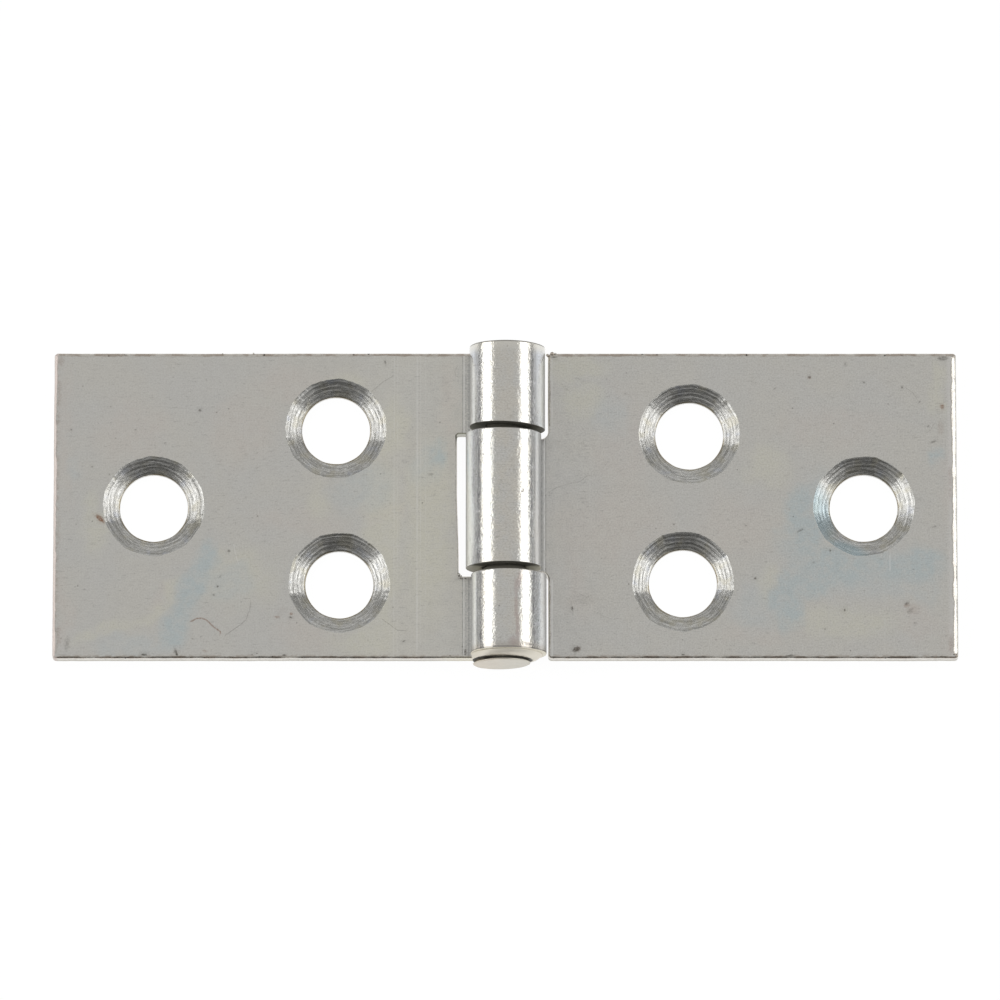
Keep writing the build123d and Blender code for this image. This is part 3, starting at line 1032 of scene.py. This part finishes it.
def sink_material(name, side):
    """Countersink: turned rings with chatter, cut through fresh metal and plated."""
    material, tree = new_material(name, (0.36, 0.355, 0.335))
    point = tree.attribute("cut")
    place = tree.place(z=0)
    depth = tree.axes(tree.attribute("sheet"))[2]
    rings = tree.noise(point, (1.6, 1.6, 13.0), 4.0, 0.65)
    fine = tree.noise(point, (4.0, 4.0, 38.0), 3.0, 0.65)
    chips = tree.noise(point, (14.0, 14.0, 9.0), 3.0, 0.65)
    tree.coat(rings.span(0.38, 0.62), (0.62, 0.615, 0.59))
    tree.coat(fine.span(0.50, 0.72, 0, 0.50), (0.17, 0.170, 0.15))
    tree.coat(chips.span(0.54, 0.74, 0, 0.45), (0.14, 0.140, 0.125))
    tree.coat(chips.span(0.45, 0.30, 0, 0.45), (0.82, 0.815, 0.79))
    hue = tree.noise(place, 0.9, 2.0, 0.5)
    tree.coat(hue.span(0.50, 0.66, 0, 0.40), (0.44, 0.41, 0.31))
    tree.coat(hue.span(0.40, 0.30, 0, 0.30), (0.42, 0.45, 0.53))
    if side > 0:
        cyan = [(25.2, -0.9, 1.2, 2.6, 10), (27.4, -3.6, 2.0, 0.7, -20)]
        tree.coat(tree.spots(place, cyan, 0.5) * 0.50, (0.33, 0.47, 0.53))
    rust = depth.span(0.46, 0.36) * hue.span(0.35, 0.6, 0.25, 0.85)
    tree.coat(rust, (0.24, 0.19, 0.10))
    height = rings + fine * 0.35 + chips * 0.60
    tree.finish(fine.span(0.3, 0.7, 0.18, 0.30), height, 0.00003, 0.8)
    return material


def gap_material(name, side):
    """Knuckle ends that face each other, painted dark as the shade in the narrow gaps between the
    knuckles, with lumpy tone.
    """
    material, tree = new_material(name, (0.130, 0.125, 0.100))
    lumps = tree.noise(tree.place(), 2.4, 4.0)
    tree.coat(lumps.span(0.3, 0.75), (0.260, 0.250, 0.210))
    around, along, _ = tree.axes(tree.attribute("sheet"))
    tips = abs(around + HALF_TURN).span(3.0, 4.1, 0, 0.9) * along.span(2, -2, 0.25, 1.0)
    tree.coat(tips, (0.82, 0.80, 0.71))
    tree.finish(0.62, lumps, 0.00006, 0.6, metallic=0.2)
    return material


def pin_material(name):
    """Pin: plated wire, with painted shade where it shows in the gaps between the knuckles and in
    the groove under the hammered end's collar, and the collar painted pale as painted light.
    """
    material, tree = new_material(name, (0.66, 0.60, 0.51))
    point = tree.place()
    across, along, _ = tree.axes(point)
    lumps = tree.noise(point, 1.4)
    tree.coat(across.span(-2.2, 1.4), (0.62, 0.595, 0.525))
    tree.coat(lumps.span(0.3, 0.72, 0, 0.35), (0.52, 0.49, 0.43))
    specks = tree.noise(point, 7.0, 3.0, 0.65)
    tree.coat(specks.span(0.60, 0.75, 0, 0.35), (0.30, 0.26, 0.21))
    # The collar painted pale as painted light, matching the knuckle's lower end face
    collar = along.span(-13.02, -12.95) * along.span(-12.40, -12.46)
    tree.coat(collar, CREAM)
    ragged = along + (tree.noise(point, 3.0) - 0.5) * 0.08
    neck = ragged.span(-13.15, -13.10) * ragged.span(-12.955, -12.99)
    upper_gap, lower_gap = (0.5 * (MIDDLE_TOP + NOTCH_TOP), 0.5 * (MIDDLE_BOTTOM + NOTCH_BOTTOM))
    gaps = along.away(upper_gap).span(0.8, 0.45) | along.away(lower_gap).span(0.8, 0.45)
    # Painted shade on the pin where it shows in the gaps between the knuckles and in the groove
    # under the collar
    tree.coat(gaps * 0.97, (0.17, 0.16, 0.13))
    tree.coat(neck * 0.97, (0.045, 0.042, 0.032))
    painted_shade = neck | gaps
    roughness = (painted_shade | collar).span(0, 1, 0.40, 0.62, "LINEAR")
    metallic = painted_shade.span(0, 1, 1, 0, "LINEAR")
    tree.finish(roughness, lumps + specks * 0.3, 0.00004, 0.7, metallic)
    return material


# Pieces: outline corners as (s, y, radius), hole centres as (x, y) and burrs as (s, y, n, size)

S_CORNER = CORNER_NOTCH_REACH + KNUCKLE_LEAN
S_MIDDLE = MIDDLE_NOTCH_REACH + KNUCKLE_LEAN
right_leaf = leaf_mesh(
    "one_knuckle_leaf_looks",
    [
        (S_TIP, MIDDLE_BOTTOM, TIP_CORNER),
        (S_CORNER, MIDDLE_BOTTOM, 0.55),
        (S_CORNER, -HALF_LENGTH, LEAF_CORNER),
        (S_END, -HALF_LENGTH, LEAF_CORNER),
        (S_END, HALF_LENGTH, LEAF_CORNER),
        (S_CORNER, HALF_LENGTH, LEAF_CORNER),
        (S_CORNER, MIDDLE_TOP, 0.60),
        (S_TIP, MIDDLE_TOP, TIP_CORNER),
    ],
    [(28.95, 0), (14.875, 5.955), (14.325, -6.195)],
    [
        (3.56, 12.34, 1.2, 0.12), (3.95, 12.46, 1.2, 0.15), (4.2, 12.44, 1.2, 0.10),
        (-7.4, -1.69, 0.0, 0.09), (-12.0, -3.24, 0.0, 0.065),
    ],
    1, 3.0,
)
left_leaf = leaf_mesh(
    "two_knuckle_leaf_looks",
    [
        (S_TIP, -HALF_LENGTH, TIP_CORNER),
        (S_END, -HALF_LENGTH, LEAF_CORNER),
        (S_END, HALF_LENGTH, LEAF_CORNER),
        (S_TIP, HALF_LENGTH, TIP_CORNER),
        (S_TIP, NOTCH_TOP, TIP_CORNER),
        (S_MIDDLE, NOTCH_TOP, 0.14),
        (S_MIDDLE, NOTCH_BOTTOM, 0.14),
        (S_TIP, NOTCH_BOTTOM, TIP_CORNER),
    ],
    [(28.4, 0), (13.7, 6.4), (13.4, -6.3)],
    [
        (3.92, -5.62, 1.2, 0.13), (3.74, -5.74, 1.2, 0.09), (20.54, 12.5, 1.2, 0.06),
        (23.05, 12.44, 1.2, 0.07),
    ],
    -1, 8.0,
)
for piece, side, node, body in (
    (right_leaf, 1, "one_knuckle_leaf", "swinging_leaf"),
    (left_leaf, -1, "two_knuckle_leaf", "pin_leaf"),
):
    for part, make in (
        ("_front", front_material), ("_back", back_material), ("_barrel", barrel_material),
        ("_edge", edge_material), ("_sink", sink_material), ("_bore", back_material),
        ("_gap", gap_material),
    ):
        piece.data.materials.append(make(node + part, side))
    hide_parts(node)
    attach(piece, body)

# Radius, place along the pin and sideways offset, from the plain end to the hammered one
PIN_PROFILE = (
    (0.0, 12.745), (0.7, 12.75), (1.30, 12.74), (1.43, 12.71), (1.51, 12.65), (1.55, 12.55),
    (1.55, 9.0), (1.55, 6.2), (1.55, 5.90), (1.84, 5.87), (1.85, 5.76), (1.84, 5.66),
    (1.55, 5.63), (1.55, 5.1), (1.55, 0.0), (1.55, -5.2), (1.55, -5.50), (1.84, -5.54),
    (1.85, -5.74), (1.84, -5.94), (1.55, -5.98), (1.55, -6.3), (1.55, -9.0), (1.55, -12.3),
    (1.60, -12.47), (1.61, -12.499), (2.50, -12.499, 0.06), (2.86, -12.503, 0.12),
    (2.84, -12.56, 0.11), (2.78, -12.66, 0.08), (2.70, -12.76, 0.04), (2.60, -12.86, -0.01),
    (2.40, -12.94, -0.04), (2.18, -12.98, -0.08), (1.98, -13.00, -0.14), (1.94, -13.06, -0.20),
    (1.98, -13.10, -0.26), (2.08, -13.14, -0.30), (2.22, -13.17, -0.30), (2.285, -13.20, -0.30),
    (2.30, -13.235, -0.30), (2.285, -13.275, -0.30), (2.23, -13.305, -0.30),
    (2.10, -13.32, -0.30), (1.75, -13.32, -0.30), (1.35, -13.32, -0.30), (0.95, -13.32, -0.30),
    (0.5, -13.32, -0.30), (0.0, -13.32, -0.30),
)
COLLAR_TOP, NECK, HEAD_RIM, HEAD_END = -12.7, -13.05, -13.2, -13.40
pin_points, pin_faces = revolve(PIN_PROFILE, 96, 0.012, 4.0)
for point in pin_points:
    if NECK < point[1] < COLLAR_TOP and point[0] < -0.9:
        point[1] -= 0.15 * smooth((-0.9 - point[0]) / 1.1)
    if point[1] < NECK:
        x, y, z = point
        dimple = max(noise.noise(Vector((x * 0.9, z * 0.9, 2.0))) * 0.035, -0.01)
        point[1] = max(y + 0.02 * (x + 0.3) + dimple * (y < HEAD_RIM), HEAD_END)
pin_mesh = smooth_mesh("hinge_pin_looks", pin_points, pin_faces)
pin_mesh.update()
pin_mesh.materials.append(pin_material("pin"))
pin_piece = link("hinge_pin_looks", pin_mesh)
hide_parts("hinge_pin")
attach(pin_piece, "pin_leaf")

# Floor, seen as white paper from above and not at all from below

FLOOR_CORNERS = [(-8, -8, -0.0002), (8, -8, -0.0002), (8, 8, -0.0002), (-8, 8, -0.0002)]
floor_mesh = bpy.data.meshes.new("floor")
floor_mesh.from_pydata(FLOOR_CORNERS, [], [(0, 1, 2, 3)])
floor = link("floor", floor_mesh)
material, tree = new_material("floor")
rays = tree.node("LightPath").outputs
camera_ray, glossy_ray, clear_ray = (
    Value(tree, rays[kind]) for kind in ("Is Camera Ray", "Is Glossy Ray", "Is Transmission Ray")
)
paper = tree.value("BsdfDiffuse", {"Color": (0.9, 0.9, 0.9, 1)})
white = tree.value("Emission", {"Color": (1, 1, 1, 1), "Strength": 1.05})
seen = (camera_ray | glossy_ray | clear_ray) * 0.9
from_above = tree.value("MixShader", {0: seen, 1: paper, 2: white})
below = tree.value("NewGeometry", output="Backfacing")
clear = tree.value("BsdfTransparent")
tree.node("OutputMaterial", {0: tree.value("MixShader", {0: below, 1: from_above, 2: clear})})
floor_mesh.materials.append(material)

# World: a pale studio, brighter overhead and behind, dimmer on the camera's side

world = bpy.data.worlds.new("studio")
bpy.context.scene.world = world
world.use_nodes = True
tree = Tree(world)
_, depth, rise = tree.axes(tree.value("TexCoord", output="Generated"))
level = rise.span(0.15, 0.75, 0.27, 0.60)
level = depth.span(0.35, 0.9).blend(level, 0.68)
level = (depth * -1.0).span(0.5, 0.85).blend(level, 0.13)
level = rise.span(0.0, -0.02).blend(level, 1.0)
sky = tree.value("Background", {"Color": (1, 1, 1, 1), "Strength": level})
tree.node("OutputWorld", {0: sky})


def softbox(name, angle, half_width):
    """Area lamp at an angle from straight up, towards +X for positive angles, that fills
    the half width in degrees."""
    distance, length, radiance = 0.8, 0.7, 1.7
    lamp = bpy.data.lights.new(name, "AREA")
    lamp.shape = "RECTANGLE"
    lamp.size = 2 * distance * math.tan(math.radians(half_width))
    lamp.size_y = length
    lamp.energy = radiance * math.pi * lamp.size * lamp.size_y
    a = math.radians(angle)
    placed = link(name, lamp)
    placed.location = Vector((math.sin(a), 0, math.cos(a))) * distance
    placed.rotation_euler = (0, a, 0)


softbox("left_softbox", -59.5, 17)
softbox("right_softbox", 62, 15.5)
